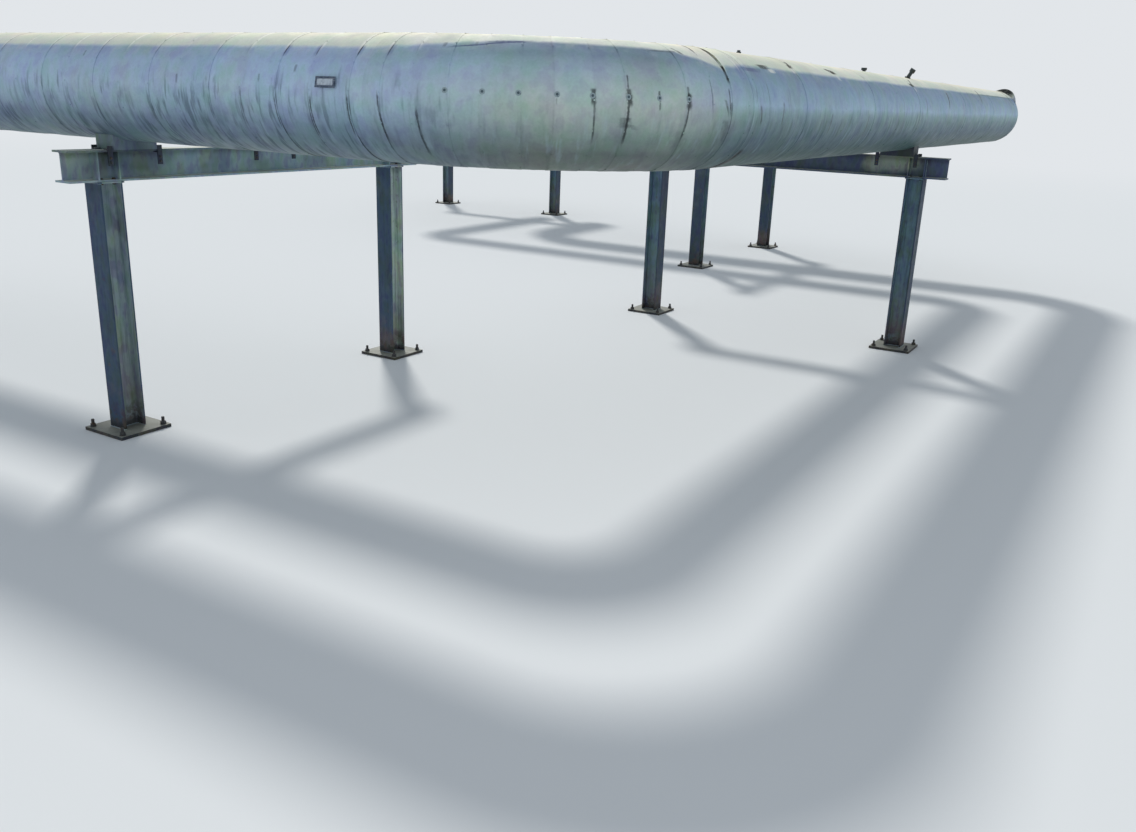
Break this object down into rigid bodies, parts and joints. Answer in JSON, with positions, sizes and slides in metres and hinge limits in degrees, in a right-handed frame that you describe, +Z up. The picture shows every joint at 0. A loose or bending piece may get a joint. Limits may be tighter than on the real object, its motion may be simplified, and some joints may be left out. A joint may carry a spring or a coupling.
{
  "type": "industrial pipe bridge, an insulated two-pipe expansion loop on low steel bents",
  "caption": "Pipe bridge: a large insulated pipe and a smaller one side by side in a U-shaped expansion loop with gored elbows, on low H-section post bents with crossbeams and saddles.",
  "frame": {"origin": "centre of the bridge's plan at ground level, under the base plates", "axes": "+X along the line of the pipes, from inlet to outlet; +Y from the end of the loop back to that line; +Z up"},
  "size_m": [22.4506, 16.03, 3.5331],
  "materials": {
    "jacket_sheet": "weathered matt sheet",
    "post_paint": "weathered matt paint, rust-stained at the foot",
    "beam_paint": "weathered matt paint",
    "saddle_paint": "weathered matt paint",
    "anchor_steel": "rusty threaded steel",
    "pipe_steel": "black primer with surface rust",
    "plate_sheet": "dull bare sheet",
    "fitting_steel": "dark weathered steel"
  },
  "bodies": {
    "root": {"left_posts": "post_paint", "end_posts": "post_paint", "right_posts": "post_paint", "inlet_posts": "post_paint", "outlet_posts": "post_paint", "left_beam": "beam_paint", "end_beam": "beam_paint", "right_beam": "beam_paint", "inlet_beam": "beam_paint", "outlet_beam": "beam_paint", "left_saddles": "saddle_paint", "end_saddles": "saddle_paint", "right_saddles": "saddle_paint", "inlet_saddles": "saddle_paint", "outlet_saddles": "saddle_paint", "anchor_bolts": "anchor_steel", "holddown_clips": "saddle_paint", "outer_inlet_jacket": "jacket_sheet", "outer_left_jacket": "jacket_sheet", "outer_end_jacket": "jacket_sheet", "outer_right_jacket": "jacket_sheet", "outer_outlet_jacket": "jacket_sheet", "outer_elbow_back_left": "jacket_sheet", "outer_elbow_front_left": "jacket_sheet", "outer_elbow_front_right": "jacket_sheet", "outer_elbow_back_right": "jacket_sheet", "inner_inlet_jacket": "jacket_sheet", "inner_left_jacket": "jacket_sheet", "inner_end_jacket": "jacket_sheet", "inner_right_jacket": "jacket_sheet", "inner_outlet_jacket": "jacket_sheet", "inner_elbow_back_left": "jacket_sheet", "inner_elbow_front_left": "jacket_sheet", "inner_elbow_front_right": "jacket_sheet", "inner_elbow_back_right": "jacket_sheet", "outer_carrier_pipe": "pipe_steel", "inner_carrier_pipe": "pipe_steel", "outer_inlet_pipe_end": "pipe_steel", "outer_outlet_pipe_end": "pipe_steel", "inner_inlet_pipe_end": "pipe_steel", "inner_outlet_pipe_end": "pipe_steel", "name_plate": "plate_sheet", "drain_plug": "fitting_steel", "thermometer_pocket": "fitting_steel", "air_vent": "fitting_steel"}
  },
  "joints": []
}
